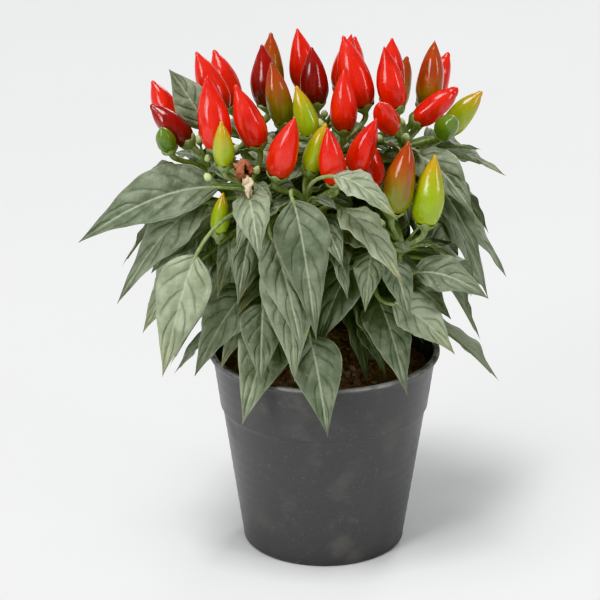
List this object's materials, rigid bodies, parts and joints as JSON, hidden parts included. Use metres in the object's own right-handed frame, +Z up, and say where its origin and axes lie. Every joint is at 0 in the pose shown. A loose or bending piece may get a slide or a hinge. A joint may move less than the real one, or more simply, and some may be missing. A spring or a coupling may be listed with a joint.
{
  "type": "potted chilli pepper plant",
  "caption": "Ornamental chilli pepper plant in a round tapered nursery pot, a bush of drooping leaves under upright conical fruit from green to red.",
  "frame": {"origin": "centre of the pot's underside, on the surface it stands on", "axes": "+Z up, -Y towards the side that is looked at, +X to the right of it"},
  "size_m": [0.1909, 0.176, 0.2346],
  "materials": {
    "pot": "satin",
    "soil": "matte",
    "stem": "satin",
    "leaf": "satin",
    "chilli_red": "gloss",
    "chilli_dark_red": "gloss",
    "chilli_turning": "gloss",
    "chilli_yellow_green": "gloss",
    "chilli_unripe": "gloss"
  },
  "bodies": {
    "root": {"chilli_01_dark_red": "chilli_dark_red", "chilli_02_unripe": "chilli_unripe", "chilli_03_red": "chilli_red", "chilli_04_red": "chilli_red", "chilli_05_yellow_green": "chilli_yellow_green", "chilli_06_yellow_green": "chilli_yellow_green", "chilli_07_red": "chilli_red", "chilli_08_red": "chilli_red", "chilli_09_yellow_green": "chilli_yellow_green", "chilli_10_yellow_green": "chilli_yellow_green", "chilli_11_red": "chilli_red", "chilli_12_red": "chilli_red", "chilli_13_turning": "chilli_turning", "chilli_14_red": "chilli_red", "chilli_15_red": "chilli_red", "chilli_16_dark_red": "chilli_dark_red", "chilli_17_red": "chilli_red", "chilli_18_red": "chilli_red", "chilli_19_red": "chilli_red", "chilli_20_unripe": "chilli_unripe", "chilli_21_turning": "chilli_turning", "chilli_22_red": "chilli_red", "chilli_23_turning": "chilli_turning", "chilli_24_yellow_green": "chilli_yellow_green", "chilli_25_dark_red": "chilli_dark_red", "chilli_26_red": "chilli_red", "chilli_27_red": "chilli_red", "chilli_28_turning": "chilli_turning", "chilli_29_red": "chilli_red", "chilli_30_red": "chilli_red", "chilli_31_red": "chilli_red", "chilli_32_yellow_green": "chilli_yellow_green", "chilli_33_red": "chilli_red", "chilli_34_red": "chilli_red", "chilli_35_turning": "chilli_turning", "chilli_36_yellow_green": "chilli_yellow_green", "leafy_shoot_1": "leaf", "leafy_shoot_2": "leaf", "leafy_shoot_3": "leaf", "leafy_shoot_4": "leaf", "leafy_shoot_5": "leaf", "leafy_shoot_6": "leaf", "leafy_shoot_7": "leaf", "leafy_shoot_8": "leaf", "leafy_shoot_9": "leaf", "main_stem": "stem", "pot": "pot", "soil": "soil"}
  },
  "joints": []
}
